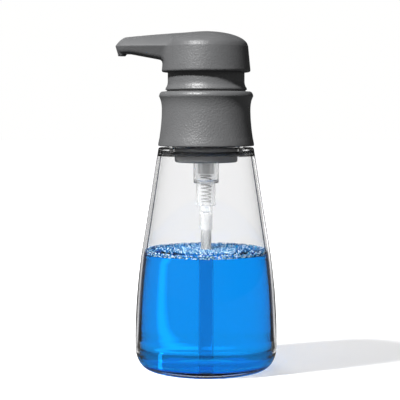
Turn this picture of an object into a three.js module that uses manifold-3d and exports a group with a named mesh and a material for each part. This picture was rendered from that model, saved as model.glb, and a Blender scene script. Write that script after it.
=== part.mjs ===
// Soap pump dispenser: a tapered glass bottle, a screw-on collar and a spring-return pump with a
// swivelling head. Millimetres, +Z up. The origin is the middle of the flat base; the axis of the pump
// is Z and the spout points to -X.

import * as THREE from 'three';
import { mergeVertices } from 'three/addons/utils/BufferGeometryUtils.js';
import Module from 'manifold-3d';

const wasm = await Module();
wasm.setup();

// ---------------------------------------------------------------- driving dimensions

const GAP = 0.3; // clearance between pieces that meet
const FINE = 40; // sides of the largest round pieces
const MEDIUM = 30; // sides of the collar, sleeve and well
const SMALL = 16; // sides of the pump's inner pieces

// Bottle
const FOOT_R = 32; // flat disc that stands on the table
const HEEL_H = 12; // height of the elliptical heel
const BODY_R = 39.35; // widest radius, just above the heel
const WALL_ARC_Z = 14; // height where the wall is upright
const WALL_ARC_R = 350; // radius of the gently curved lower wall
const WALL_TAPER = 0.165; // radius lost for each millimetre up the straight upper wall
const SHOULDER_Z = 122.3;
const SHOULDER_ROUND = 1.2;
const NECK_R = 20.6;
const NECK_BORE_R = 18.3;
const RIM_Z = 148;
const FLOOR_Z = 4.5; // inside floor
const INNER_HEEL = 5.5; // radius between the inside floor and the wall
const WALL_LOW = 3.1;
const WALL_HIGH = 2.0;
const SHOULDER_UNDER_Z = 119.4; // inside of the shoulder
const INNER_SHOULDER = 2.6; // radius under the shoulder
const BEAD_Z = 126.6;
const BEAD_R = 21.6;
const BEAD_HALF = [0.4, 1.2]; // half the bead's height at its crest and at its root
const GLASS_EDGE = 0.8; // small bevels on the neck

// Screw thread between the glass neck and the collar: right-handed, one start
const LEAD = 5;
const THREAD_R = 21.9; // crest of the glass thread
const THREAD_Z = 131.5; // lower end of the glass thread
const GLASS_TURNS = 1.1;
const COLLAR_TURNS = 0.85;
const COLLAR_CREST_R = 21.0;
const THREAD_ROOT_W = 2.0;
const THREAD_CREST_W = 1.0;
const THREAD_BURY = 0.4; // how far a ridge is sunk in its wall
const COLLAR_THREAD_SHIFT = -2.4; // the collar's ridge lies below the glass one, in its groove

// Soap
const SOAP_Z = 66.4;

// Collar
const COLLAR_Z = [123.1, 152.9];
const COLLAR_FOOT_R = 26.5;
const COLLAR_WAIST_R = 24.4;
const COLLAR_WAIST_Z = 143;
const COLLAR_SHOULDER_R = 25.9;
const COLLAR_SHOULDER_Z = 151;
const COLLAR_CURVE_Z = [134.5, 148.3]; // where the curves below and above the waist turn
const COLLAR_TOP_R = 24.3; // inner end of the rounded top edge
const COLLAR_BORE_R = 22.3;
const COLLAR_MOUTH_R = 19.6;
const COLLAR_LID_Z = 151.3; // underside of the collar's top lip

// Well: the cup that hangs in the neck and carries the pump
const WELL_R = 17.4;
const WELL_WALL = 1.5;
const WELL_Z = 114;
const WELL_FLOOR = 2;
const FLANGE_R = 20.8; // small enough to pass the collar's thread, too large for its mouth
const FLANGE_Z = [149.6, 151];
const BOSS_R = [11, 12.5];
const BOSS_Z = 124;
const SEAL_Z = [121.6, 123.8];
const SEAL_GROOVE = 0.8;

// Neck sleeve
const SLEEVE_R = 21.1;
const SLEEVE_WALL = 1.8;
const SLEEVE_LIP_R = 22.4;
const SLEEVE_LIP_Z = 154.9;
const SLEEVE_Z = [153.7, 165];
const SLEEVE_FLARE_Z = [156.1, 158.6]; // the flare above the lip: where it turns and where it ends
const SLEEVE_STEP = [21.7, 153.2]; // radius and underside of the step between the lip and the collar
const SLEEVE_CONE_Z = [155.6, 157.2]; // the cone inside, above the spigot
const SPIGOT_R = [17.7, 19.2];
const GUIDE_R = [6.4, 7.9];
const GUIDE_Z = 157.5;
const DECK = 1.7;

// Pump housing, a clear stepped cylinder
const CHAMBER_R = 6.95;
const CHAMBER_BORE_R = 5.75;
const CHAMBER_Z = 102.5;
const SPRING_TUBE_R = 5.3;
const SPRING_TUBE_BORE_R = 4.6;
const SPRING_SEAT_Z = 91.2;
const SPRING_TUBE_Z = 90.1;
const SOCKET_R = 3.53;
const SOCKET_BORE_R = 3.05;
const SOCKET_Z = [76.7, 85.2];
const HOUSING_FLANGE_R = 10.5;
const HOUSING_FLANGE_Z = [117.6, 119.2];
const INLET_BORE_R = 1.3;
const INLET_SEAT_Z = 86;
const INLET_CAGE_R = 2.3;
const INLET_CAGE_Z = 90.7;
const INLET_LIP_R = 1.6; // the ball snaps in past this lip
const INLET_BALL_R = 1.9;
const INLET_BALL_Z = 87.58;

// Dip tube
const TUBE_R = 2.75;
const TUBE_BORE_R = 1.9;
const TUBE_Z = [6, 84.9];

// Plunger
const NOSE_R = 4.3;
const NOSE_Z = [107.6, 114.2];
const PLUNGER_BORE_R = 1.6;
const SEAL_CORE_R = 3;
const PISTON_SEAL_Z = [114.5, 118.7];
const LIP_CUP = 1.4; // depth of the seal's cup between its two lips
const LIP_THICK = [0.8, 0.4]; // the inner and the outer lip at their lower edges
const PLUNGER_SHOULDER_Z = 119;
const PLUNGER_SPIGOT_R = 2.3;
const PLUNGER_TOP_Z = 126;

// Return spring, slightly tapered
const SPRING_Z = [91.5, 107.3];
const SPRING_COIL_R = [2.45, 3.0];
const SPRING_WIRE_R = 0.3;
const SPRING_TURNS = 7;

// Stem
const STEM_R = 3.85;
const STEM_Z = [119.6, 171];
const STEM_SOCKET_Z = 126.4;
const OUTLET_SEAT_Z = 162.6;
const OUTLET_CAGE_R = 2.9;
const OUTLET_BALL_R = 2.2;
const OUTLET_BALL_Z = 164.3;

// Housing cap
const CAP_R = 10.7;
const CAP_RIM_R = 13.5;
const CAP_Z = [119.5, 127];

// Head
const HEAD_Z = 163.5; // lower edge of the skirt
const HEAD_FOOT_R = 24.45;
const HEAD_R = 23.05; // at the crease between the side and the crown
const CREASE_Z = 177.6;
const CROWN_Z = 185.7;
const CROWN_FALL = 0.072; // height lost for each millimetre along the spout
const CROWN_POWER = 2.3; // fullness of the crown: 2 is an ellipse
const RIDGE_START_X = -8; // edge points nearer the spout than this belong to the ridge along it
const HEAD_WALL = 1.6;
const HEAD_CEILING_Z = 182.4;
const HEAD_CEILING_R = 15; // flat part of the ceiling inside
const HEAD_RIM_ROUND = 0.8;
const SPOUT_TIP_X = -49.85;
const SPOUT_TIP_R = 6.3;
const SPOUT_ROOT_X = -20;
const SPOUT_ROOT_W = 10.6; // half width where the spout leaves the head
const SPOUT_UNDER = [[-24.3, 168.2], [-25.6, 170.1], [-28, 170.9], [-41.2, 173.3], [-44, 173.3]];
const SPOUT_NOSE = [[-48.2, 173.3], [-48.7, 174.6], [-49.5, 176.5], [-49.85, 178.2]];
const SPOUT_WALL = 1.5;
const CHANNEL_UNDER = [[0, 174], [-28, 172.8]]; // floor of the hollow along the spout
const CHANNEL_TIP_Z = [178.4, 180.2]; // its ceiling at the tip and behind it
const BLEND_R = 4; // fillet in plan between the head and the spout

// Head core: the socket, valve stop and web inside the head
const CORE_R = 6;
const CORE_Z = [157.5, 181.6];
const CORE_CEILING_Z = 180.4;
const CORE_CHAMBER_R = 2.6;
const STOP_R = 1;
const STOP_Z = 168;
const WEB_R = 21.1;
const WEB_Z = [175.3, 176.4];
const OUTLET_R = 1.4; // hole from the core into the spout tube

// Spout tube and nozzle
const SPOUT_TUBE_R = 2.3;
const SPOUT_TUBE_BORE_R = 1.6;
const SPOUT_TUBE_Z = 179.3;
const NOZZLE_X = -46.1;
const NOZZLE_R = 1.5;
const NOZZLE_BORE_R = 1;
const NOZZLE_Z = [172.3, 176.2];
const NOZZLE_FLANGE_R = 1.9;
const NOZZLE_FLANGE_H = 0.8;
const LIP_R = [2.2, 2.5]; // the drip lip round the nozzle, from its lower edge to the spout
const LIP_Z = [172, 174];

// ---------------------------------------------------------------- materials

function finish(color, roughness, metalness = 0, opacity = 1) {
  return new THREE.MeshStandardMaterial({
    color, roughness, metalness, opacity, transparent: opacity < 1,
  });
}

const clearGlass = finish(0xf4f8f8, 0.05, 0, 0.3);
const blueSoap = finish(0x0390f5, 0.1, 0, 0.85);
const greyPlastic = finish(0x6f7072, 0.45);
const clearPlastic = finish(0xe6e8ea, 0.2, 0, 0.5);
const milkyPlastic = finish(0xc6c8ca, 0.4);
const darkRubber = finish(0x2c2d2f, 0.7);
const steel = finish(0xc4c6c8, 0.25, 1);

// ---------------------------------------------------------------- solids

// A closed three.js geometry as a manifold-3d solid with its faces outward.
function solid(geometry) {
  const bare = geometry.clone();
  bare.deleteAttribute('normal');
  bare.deleteAttribute('uv');
  const merged = mergeVertices(bare, 1e-4);
  const index = merged.index.array;
  const kept = [];
  for (let i = 0; i < index.length; i += 3) {
    const [a, b, c] = [index[i], index[i + 1], index[i + 2]];
    if (a !== b && b !== c && c !== a) kept.push(a, b, c);
  }
  const facing = signedVolume(merged.attributes.position, kept) < 0 ? kept.reverse() : kept;
  return new wasm.Manifold(new wasm.Mesh({
    numProp: 3,
    vertProperties: merged.attributes.position.array,
    triVerts: Uint32Array.from(facing),
  }));
}

function signedVolume(position, corners) {
  const [a, b, c] = [new THREE.Vector3(), new THREE.Vector3(), new THREE.Vector3()];
  let six = 0;
  for (let i = 0; i < corners.length; i += 3) {
    a.fromBufferAttribute(position, corners[i]);
    b.fromBufferAttribute(position, corners[i + 1]);
    c.fromBufferAttribute(position, corners[i + 2]);
    six += a.dot(b.cross(c));
  }
  return six;
}

// A manifold-3d solid as a named mesh.
function mesh(name, made, material) {
  const { vertProperties, triVerts } = made.getMesh();
  const geometry = new THREE.BufferGeometry();
  geometry.setAttribute('position', new THREE.BufferAttribute(Float32Array.from(vertProperties), 3));
  geometry.setIndex(new THREE.BufferAttribute(Uint32Array.from(triVerts), 1));
  geometry.computeVertexNormals();
  const piece = new THREE.Mesh(geometry, material);
  piece.name = name;
  return piece;
}

// A solid of revolution about Z from [radius, z] points. A profile that stays off the axis is closed
// on itself.
function turned(profile, sides) {
  const points = profile.map(([r, z]) => new THREE.Vector2(r, z));
  const onAxis = points[0].x === 0 && points[points.length - 1].x === 0;
  if (!onAxis) points.push(points[0].clone());
  return solid(new THREE.LatheGeometry(points, sides).rotateX(Math.PI / 2));
}

// A plain ring from its inner and outer radius and its lower and upper face.
function ring([inner, outer], [low, high], sides = SMALL) {
  return turned([[inner, low], [outer, low], [outer, high], [inner, high]], sides);
}

// A cylinder along X or Z, for bores.
function rod(radius, length, centre, alongX = false) {
  const geometry = new THREE.CylinderGeometry(radius, radius, length, SMALL);
  if (alongX) geometry.rotateZ(Math.PI / 2);
  else geometry.rotateX(Math.PI / 2);
  return solid(geometry.translate(...centre));
}

// Points on an elliptical quarter from one angle to another, as [radius, z].
function arc(centreR, centreZ, radiusR, radiusZ, fromDeg, toDeg, steps) {
  return Array.from({ length: steps + 1 }, (_, i) => {
    const angle = THREE.MathUtils.degToRad(THREE.MathUtils.lerp(fromDeg, toDeg, i / steps));
    return [centreR + radiusR * Math.cos(angle), centreZ + radiusZ * Math.sin(angle)];
  });
}

// Points on a quadratic curve between two ends, the first end left out.
function bend(start, control, end, steps) {
  const curve = new THREE.QuadraticBezierCurve(
    new THREE.Vector2(...start), new THREE.Vector2(...control), new THREE.Vector2(...end),
  );
  return curve.getPoints(steps).slice(1).map((p) => [p.x, p.y]);
}

// A helical ridge: a box bent round the axis, its root at one radius and its crest at another, fading
// in at both ends.
function ridge(rootR, crestR, startZ, turns) {
  const steps = Math.round(turns * 24);
  const box = new THREE.BoxGeometry(1, 1, 1, steps, 1, 1);
  const position = box.attributes.position;
  for (let i = 0; i < position.count; i += 1) {
    const along = position.getX(i) + 0.5;
    const out = position.getY(i) + 0.5;
    const angle = along * turns * 2 * Math.PI;
    const full = Math.min(1, Math.sin(along * Math.PI) * 6 + 0.15);
    const radius = THREE.MathUtils.lerp(rootR, crestR, out * full);
    const width = THREE.MathUtils.lerp(THREAD_ROOT_W, THREAD_CREST_W, out);
    position.setXYZ(
      i,
      radius * Math.cos(angle),
      radius * Math.sin(angle),
      startZ + along * turns * LEAD + position.getZ(i) * width,
    );
  }
  return solid(box);
}

// ---------------------------------------------------------------- bottle

// Outer radius of the bottle's side at a height: an arc that becomes a straight taper.
const arcTopZ = WALL_ARC_Z + WALL_ARC_R * Math.sin(Math.atan(WALL_TAPER));
const arcTopR = BODY_R - WALL_ARC_R * (1 - Math.cos(Math.atan(WALL_TAPER)));

function sideR(z) {
  if (z <= WALL_ARC_Z) return BODY_R;
  if (z >= arcTopZ) return arcTopR - WALL_TAPER * (z - arcTopZ);
  return BODY_R - WALL_ARC_R + Math.sqrt(WALL_ARC_R ** 2 - (z - WALL_ARC_Z) ** 2);
}

// Inner radius of the side: the wall is thickest low down.
function innerR(z) {
  const climb = THREE.MathUtils.smoothstep(z, WALL_ARC_Z, arcTopZ);
  return sideR(z) - THREE.MathUtils.lerp(WALL_LOW, WALL_HIGH, climb);
}

const WALL_STATIONS = [WALL_ARC_Z, 30, 45, 58, arcTopZ];

function bottle() {
  const shoulderR = sideR(SHOULDER_Z - SHOULDER_ROUND);
  const outside = [
    ...arc(FOOT_R, HEEL_H, BODY_R - FOOT_R, HEEL_H, -90, 0, 5),
    ...WALL_STATIONS.map((z) => [sideR(z), z]),
    ...arc(shoulderR - SHOULDER_ROUND, SHOULDER_Z - SHOULDER_ROUND, SHOULDER_ROUND, SHOULDER_ROUND, 0, 90, 3),
    [NECK_R + GLASS_EDGE, SHOULDER_Z],
    [NECK_R, SHOULDER_Z + GLASS_EDGE],
    [NECK_R, BEAD_Z - BEAD_HALF[1]],
    [BEAD_R, BEAD_Z - BEAD_HALF[0]],
    [BEAD_R, BEAD_Z + BEAD_HALF[0]],
    [NECK_R, BEAD_Z + BEAD_HALF[1]],
    [NECK_R, RIM_Z - GLASS_EDGE],
    [NECK_R - GLASS_EDGE, RIM_Z],
  ];
  const innerHeelR = innerR(FLOOR_Z + INNER_HEEL);
  const underZ = SHOULDER_UNDER_Z - INNER_SHOULDER;
  const inside = [
    [NECK_BORE_R + GLASS_EDGE, RIM_Z],
    [NECK_BORE_R, RIM_Z - GLASS_EDGE],
    [NECK_BORE_R, SHOULDER_UNDER_Z + GLASS_EDGE],
    [NECK_BORE_R + GLASS_EDGE, SHOULDER_UNDER_Z],
    ...arc(innerR(underZ) - INNER_SHOULDER, underZ, INNER_SHOULDER, INNER_SHOULDER, 90, 0, 3),
    ...WALL_STATIONS.slice(1).reverse().map((z) => [innerR(z), z]),
    ...arc(innerHeelR - INNER_HEEL, FLOOR_Z + INNER_HEEL, INNER_HEEL, INNER_HEEL, 0, -90, 5),
    [0, FLOOR_Z],
  ];
  const thread = ridge(NECK_R - THREAD_BURY, THREAD_R, THREAD_Z, GLASS_TURNS);
  return mesh('bottle', turned([[0, 0], ...outside, ...inside], FINE).add(thread), clearGlass);
}

// The soap fills the bottle to its level and leaves a bore for the dip tube.
function soap() {
  const low = FLOOR_Z + GAP;
  const heelR = innerR(FLOOR_Z + INNER_HEEL) - GAP;
  const outside = [
    ...arc(heelR - INNER_HEEL, low + INNER_HEEL, INNER_HEEL, INNER_HEEL, -90, 0, 5),
    ...WALL_STATIONS.slice(1, 4).map((z) => [innerR(z) - GAP, z]),
    [innerR(SOAP_Z) - GAP, SOAP_Z],
  ];
  const bore = TUBE_R + GAP;
  const tubeEnd = TUBE_Z[0] - GAP;
  const made = turned([[0, low], ...outside, [bore, SOAP_Z], [bore, tubeEnd], [0, tubeEnd]], FINE);
  return mesh('soap', made, blueSoap);
}

// ---------------------------------------------------------------- collar

function collar() {
  const [low, high] = COLLAR_Z;
  const waist = [COLLAR_WAIST_R, COLLAR_WAIST_Z];
  const topEdge = COLLAR_SHOULDER_R - COLLAR_TOP_R;
  const profile = [
    [COLLAR_FOOT_R, low],
    ...bend([COLLAR_FOOT_R, low], [COLLAR_WAIST_R, COLLAR_CURVE_Z[0]], waist, 5),
    ...bend(waist, [COLLAR_WAIST_R, COLLAR_CURVE_Z[1]], [COLLAR_SHOULDER_R, COLLAR_SHOULDER_Z], 4),
    ...arc(COLLAR_TOP_R, COLLAR_SHOULDER_Z, topEdge, high - COLLAR_SHOULDER_Z, 20, 90, 3),
    [COLLAR_MOUTH_R, high],
    [COLLAR_MOUTH_R, COLLAR_LID_Z],
    [COLLAR_BORE_R, COLLAR_LID_Z],
    [COLLAR_BORE_R, low + 1],
    [COLLAR_BORE_R + 1, low],
  ];
  const threadZ = THREAD_Z + COLLAR_THREAD_SHIFT;
  const thread = ridge(COLLAR_BORE_R + THREAD_BURY, COLLAR_CREST_R, threadZ, COLLAR_TURNS);
  return mesh('collar', turned(profile, MEDIUM).add(thread), greyPlastic);
}

// ---------------------------------------------------------------- pump insert: what sits still in the neck

function pumpWell() {
  const inner = WELL_R - WELL_WALL;
  const floorTop = WELL_Z + WELL_FLOOR;
  const groove = WELL_R - SEAL_GROOVE;
  const profile = [
    [CHAMBER_R + GAP, WELL_Z],
    [WELL_R - 1, WELL_Z],
    [WELL_R, WELL_Z + 1],
    [WELL_R, SEAL_Z[0] - GAP],
    [groove, SEAL_Z[0] - GAP],
    [groove, SEAL_Z[1] + GAP],
    [WELL_R, SEAL_Z[1] + GAP],
    [WELL_R, FLANGE_Z[0]],
    [FLANGE_R, FLANGE_Z[0]],
    [FLANGE_R, FLANGE_Z[1]],
    [inner, FLANGE_Z[1]],
    [inner, floorTop],
    [BOSS_R[1], floorTop],
    [BOSS_R[1], BOSS_Z],
    [BOSS_R[0], BOSS_Z],
    [BOSS_R[0], floorTop],
    [CHAMBER_R + GAP, floorTop],
  ];
  return mesh('pump_well', turned(profile, MEDIUM), greyPlastic);
}

function wellSeal() {
  const made = ring([WELL_R - SEAL_GROOVE + GAP, NECK_BORE_R - GAP], SEAL_Z, MEDIUM);
  return mesh('well_seal', made, darkRubber);
}

function rimGasket() {
  const made = ring([NECK_BORE_R + GAP, NECK_R - 0.2], [RIM_Z + GAP, FLANGE_Z[0] - GAP], MEDIUM);
  return mesh('rim_gasket', made, darkRubber);
}

// The sleeve stands on the well's flange through the collar's mouth, so the collar turns between the two.
function neckSleeve() {
  const inner = SLEEVE_R - SLEEVE_WALL;
  const [low, high] = SLEEVE_Z;
  const deckZ = high - DECK;
  const profile = [
    [SPIGOT_R[0], FLANGE_Z[1] + GAP],
    [SPIGOT_R[1], FLANGE_Z[1] + GAP],
    [SPIGOT_R[1], SLEEVE_STEP[1]],
    [SLEEVE_STEP[0], SLEEVE_STEP[1]],
    [SLEEVE_STEP[0], low],
    [SLEEVE_LIP_R - 0.4, low],
    [SLEEVE_LIP_R, SLEEVE_LIP_Z - 0.4],
    ...bend([SLEEVE_LIP_R, SLEEVE_LIP_Z], [SLEEVE_R, SLEEVE_FLARE_Z[0]], [SLEEVE_R, SLEEVE_FLARE_Z[1]], 4),
    [SLEEVE_R, high - 0.5],
    [SLEEVE_R - 0.5, high],
    [GUIDE_R[0], high],
    [GUIDE_R[0], GUIDE_Z],
    [GUIDE_R[1], GUIDE_Z],
    [GUIDE_R[1], deckZ],
    [inner, deckZ],
    [inner, SLEEVE_CONE_Z[1]],
    [SPIGOT_R[0], SLEEVE_CONE_Z[0]],
  ];
  return mesh('neck_sleeve', turned(profile, MEDIUM), greyPlastic);
}

function pumpHousing() {
  const [flangeLow, flangeHigh] = HOUSING_FLANGE_Z;
  const profile = [
    [SOCKET_BORE_R, SOCKET_Z[0]],
    [SOCKET_R, SOCKET_Z[0]],
    [SOCKET_R, SPRING_TUBE_Z],
    [SPRING_TUBE_R - 0.5, SPRING_TUBE_Z],
    [SPRING_TUBE_R, SPRING_TUBE_Z + 0.5],
    [SPRING_TUBE_R, CHAMBER_Z],
    [CHAMBER_R - 0.9, CHAMBER_Z],
    [CHAMBER_R, CHAMBER_Z + 0.9],
    [CHAMBER_R, flangeLow],
    [HOUSING_FLANGE_R, flangeLow],
    [HOUSING_FLANGE_R, flangeHigh],
    [CHAMBER_BORE_R, flangeHigh],
    [CHAMBER_BORE_R, CHAMBER_Z + 1.8],
    [SPRING_TUBE_BORE_R, CHAMBER_Z + 0.8],
    [SPRING_TUBE_BORE_R, SPRING_SEAT_Z],
    [INLET_LIP_R, SPRING_SEAT_Z],
    [INLET_LIP_R, INLET_CAGE_Z],
    [INLET_CAGE_R, INLET_CAGE_Z],
    [INLET_CAGE_R, INLET_SEAT_Z + INLET_CAGE_R - INLET_BORE_R],
    [INLET_BORE_R, INLET_SEAT_Z],
    [INLET_BORE_R, SOCKET_Z[1]],
    [SOCKET_BORE_R, SOCKET_Z[1]],
  ];
  return mesh('pump_housing', turned(profile, SMALL), clearPlastic);
}

function housingGasket() {
  const height = [WELL_Z + WELL_FLOOR + GAP, HOUSING_FLANGE_Z[0] - GAP];
  const made = ring([CHAMBER_R + GAP, HOUSING_FLANGE_R], height);
  return mesh('housing_gasket', made, darkRubber);
}

// The cap presses the housing's flange on its gasket and guides the stem.
function housingCap() {
  const bore = STEM_R + GAP;
  const [low, high] = CAP_Z;
  const profile = [
    [bore, low],
    [CAP_R, low],
    [CAP_R, BOSS_Z + GAP],
    [CAP_RIM_R, BOSS_Z + GAP],
    [CAP_RIM_R, high - 0.5],
    [CAP_RIM_R - 0.5, high],
    [bore, high],
  ];
  return mesh('housing_cap', turned(profile, SMALL), milkyPlastic);
}

function dipTube() {
  return mesh('dip_tube', ring([TUBE_BORE_R, TUBE_R], TUBE_Z), milkyPlastic);
}

class Coil extends THREE.Curve {
  getPoint(t, target = new THREE.Vector3()) {
    const radius = THREE.MathUtils.lerp(...SPRING_COIL_R, t);
    const angle = t * SPRING_TURNS * 2 * Math.PI;
    const low = SPRING_Z[0] + SPRING_WIRE_R;
    const high = SPRING_Z[1] - SPRING_WIRE_R;
    return target.set(radius * Math.cos(angle), radius * Math.sin(angle), THREE.MathUtils.lerp(low, high, t));
  }
}

function spring() {
  const wire = new THREE.Shape().absarc(0, 0, SPRING_WIRE_R, 0, 2 * Math.PI);
  const geometry = new THREE.ExtrudeGeometry(wire, {
    steps: SPRING_TURNS * 10, curveSegments: 3, extrudePath: new Coil(),
  });
  return mesh('spring', solid(geometry), steel);
}

function ball(name, radius, z, material) {
  const geometry = new THREE.SphereGeometry(radius, 12, 8).rotateX(Math.PI / 2);
  const piece = mesh(name, solid(geometry), material);
  piece.position.z = z;
  return piece;
}

// ---------------------------------------------------------------- plunger: what slides in the housing

function pistonStem() {
  const profile = [
    [PLUNGER_BORE_R, NOSE_Z[0]],
    [NOSE_R, NOSE_Z[0]],
    [NOSE_R, NOSE_Z[1]],
    [SEAL_CORE_R, NOSE_Z[1]],
    [SEAL_CORE_R, PLUNGER_SHOULDER_Z],
    [PLUNGER_SPIGOT_R, PLUNGER_SHOULDER_Z],
    [PLUNGER_SPIGOT_R, PLUNGER_TOP_Z],
    [PLUNGER_BORE_R, PLUNGER_TOP_Z],
  ];
  return mesh('piston_stem', turned(profile, SMALL), milkyPlastic);
}

// A cup seal: a lip that opens downward against the chamber wall.
function pistonSeal() {
  const inner = SEAL_CORE_R + GAP;
  const outer = CHAMBER_BORE_R - GAP;
  const [low, high] = PISTON_SEAL_Z;
  const profile = [
    [inner, low],
    [inner + LIP_THICK[0], low],
    [inner + LIP_THICK[0], low + LIP_CUP],
    [outer - 2 * LIP_THICK[1], low + LIP_CUP],
    [outer - LIP_THICK[1], low],
    [outer, low],
    [outer - GAP, high],
    [inner, high],
  ];
  return mesh('piston_seal', turned(profile, SMALL), darkRubber);
}

// ---------------------------------------------------------------- head: what turns on the plunger

function stem() {
  const [low, high] = STEM_Z;
  const cageLow = OUTLET_SEAT_Z + OUTLET_CAGE_R - PLUNGER_BORE_R;
  const profile = [
    [PLUNGER_SPIGOT_R + GAP, low],
    [STEM_R, low],
    [STEM_R, high],
    [OUTLET_CAGE_R, high],
    [OUTLET_CAGE_R, cageLow],
    [PLUNGER_BORE_R, OUTLET_SEAT_Z],
    [PLUNGER_BORE_R, STEM_SOCKET_Z],
    [PLUNGER_SPIGOT_R + GAP, STEM_SOCKET_Z],
  ];
  return mesh('stem', turned(profile, SMALL), milkyPlastic);
}

const tipX = SPOUT_TIP_X + SPOUT_TIP_R; // middle of the round tip

// The spout seen from above, with straight sides that narrow to the round tip.
function spoutPlan(inset) {
  const rootW = SPOUT_ROOT_W - inset;
  const tipR = SPOUT_TIP_R - inset;
  const shape = new THREE.Shape();
  shape.moveTo(0, rootW);
  shape.lineTo(SPOUT_ROOT_X, rootW);
  shape.lineTo(tipX, tipR);
  shape.absarc(tipX, 0, tipR, Math.PI / 2, 1.5 * Math.PI);
  shape.lineTo(SPOUT_ROOT_X, -rootW);
  shape.lineTo(0, -rootW);
  return shape;
}

// The head's outline seen from above: the round cap and the spout, joined by fillets. Each point also
// says where on the ridge line, from the middle of the cap to the middle of the tip, the crown above it
// is highest.
function headOutline() {
  const filletY = SPOUT_ROOT_W + BLEND_R;
  const filletX = -Math.sqrt((HEAD_R + BLEND_R) ** 2 - filletY ** 2);
  const touch = Math.atan2(filletY, filletX);
  const half = [];
  const add = (x, y) => half.push(new THREE.Vector2(x, y));
  for (let i = 0; i <= 15; i += 1) {
    const angle = (touch * i) / 15;
    add(HEAD_R * Math.cos(angle), HEAD_R * Math.sin(angle));
  }
  for (let i = 1; i <= 3; i += 1) {
    const angle = THREE.MathUtils.lerp(touch + Math.PI, 1.5 * Math.PI, i / 3);
    add(filletX + BLEND_R * Math.cos(angle), filletY + BLEND_R * Math.sin(angle));
  }
  for (let i = 1; i <= 4; i += 1) {
    add(THREE.MathUtils.lerp(filletX, tipX, i / 4), THREE.MathUtils.lerp(SPOUT_ROOT_W, SPOUT_TIP_R, i / 4));
  }
  for (let i = 1; i <= 6; i += 1) {
    const angle = Math.PI / 2 + (Math.PI / 2) * (i / 6);
    add(tipX + SPOUT_TIP_R * Math.cos(angle), SPOUT_TIP_R * Math.sin(angle));
  }
  const other = half.slice(1, -1).reverse().map((p) => new THREE.Vector2(p.x, -p.y));
  return [...half, ...other].map((p) => {
    const along = THREE.MathUtils.mapLinear(p.x, RIDGE_START_X, tipX, 0, tipX);
    const ridgeX = THREE.MathUtils.clamp(along, tipX, 0);
    return { edge: p, ridge: new THREE.Vector2(ridgeX, 0) };
  });
}

// The domed top over that outline, down to a flat bottom: a unit dome pulled out to the outline.
function crown() {
  const bottomZ = CREASE_Z - 2;
  const outline = headOutline();
  const rings = 6;
  const dome = [[0, -1], [1, -1]];
  for (let i = 0; i <= rings; i += 1) dome.push([Math.cos((i / rings) * (Math.PI / 2)), i / rings]);
  dome[dome.length - 1][0] = 0;
  const geometry = new THREE.LatheGeometry(dome.map((p) => new THREE.Vector2(...p)), outline.length);
  geometry.rotateX(Math.PI / 2);
  const position = geometry.attributes.position;
  const perSide = dome.length;
  for (let i = 0; i < position.count; i += 1) {
    const { edge, ridge } = outline[Math.floor(i / perSide) % outline.length];
    const [share, level] = dome[i % perSide];
    const at = ridge.clone().lerp(edge, share);
    const topZ = CROWN_Z + CROWN_FALL * ridge.x;
    const rise = (1 - share ** CROWN_POWER) ** (1 / CROWN_POWER);
    const z = level < 0 ? bottomZ : THREE.MathUtils.lerp(CREASE_Z, topZ, rise);
    position.setXYZ(i, at.x, at.y, z);
  }
  return solid(geometry);
}

// A prism across the spout from a side outline of [x, z] points.
function sidePrism(points, width) {
  const shape = new THREE.Shape(points.map((p) => new THREE.Vector2(...p)));
  const geometry = new THREE.ExtrudeGeometry(shape, { depth: width, bevelEnabled: false });
  return solid(geometry.translate(0, 0, -width / 2).rotateX(Math.PI / 2));
}

// The spout below the crease: its plan, cut to its side outline.
function spoutBody() {
  const below = HEAD_Z - 3; // the prism starts under the spout and the side outline cuts it
  const plan = new THREE.ExtrudeGeometry(spoutPlan(0), {
    depth: CREASE_Z - below, bevelEnabled: false, curveSegments: 10,
  });
  const side = [[0, SPOUT_UNDER[0][1]], ...SPOUT_UNDER, ...SPOUT_NOSE, [SPOUT_TIP_X, CROWN_Z], [0, CROWN_Z]];
  return solid(plan.translate(0, 0, below)).intersect(sidePrism(side, 2 * HEAD_R));
}

// The hollow along the spout that holds its tube.
function spoutChannel() {
  const plan = new THREE.ExtrudeGeometry(spoutPlan(SPOUT_WALL), {
    depth: 20, bevelEnabled: false, curveSegments: 8,
  });
  const floor = NOZZLE_Z[1] - NOZZLE_FLANGE_H - GAP;
  const ceiling = HEAD_CEILING_Z - 0.4;
  const side = [
    ...CHANNEL_UNDER, [SPOUT_UNDER[3][0], floor], [SPOUT_TIP_X, floor],
    [SPOUT_TIP_X, CHANNEL_TIP_Z[0]], [tipX, CHANNEL_TIP_Z[1]], [SPOUT_ROOT_X, ceiling], [0, ceiling],
  ];
  return solid(plan.translate(0, 0, HEAD_Z)).intersect(sidePrism(side, 2 * (SPOUT_TIP_R - SPOUT_WALL)));
}

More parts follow.
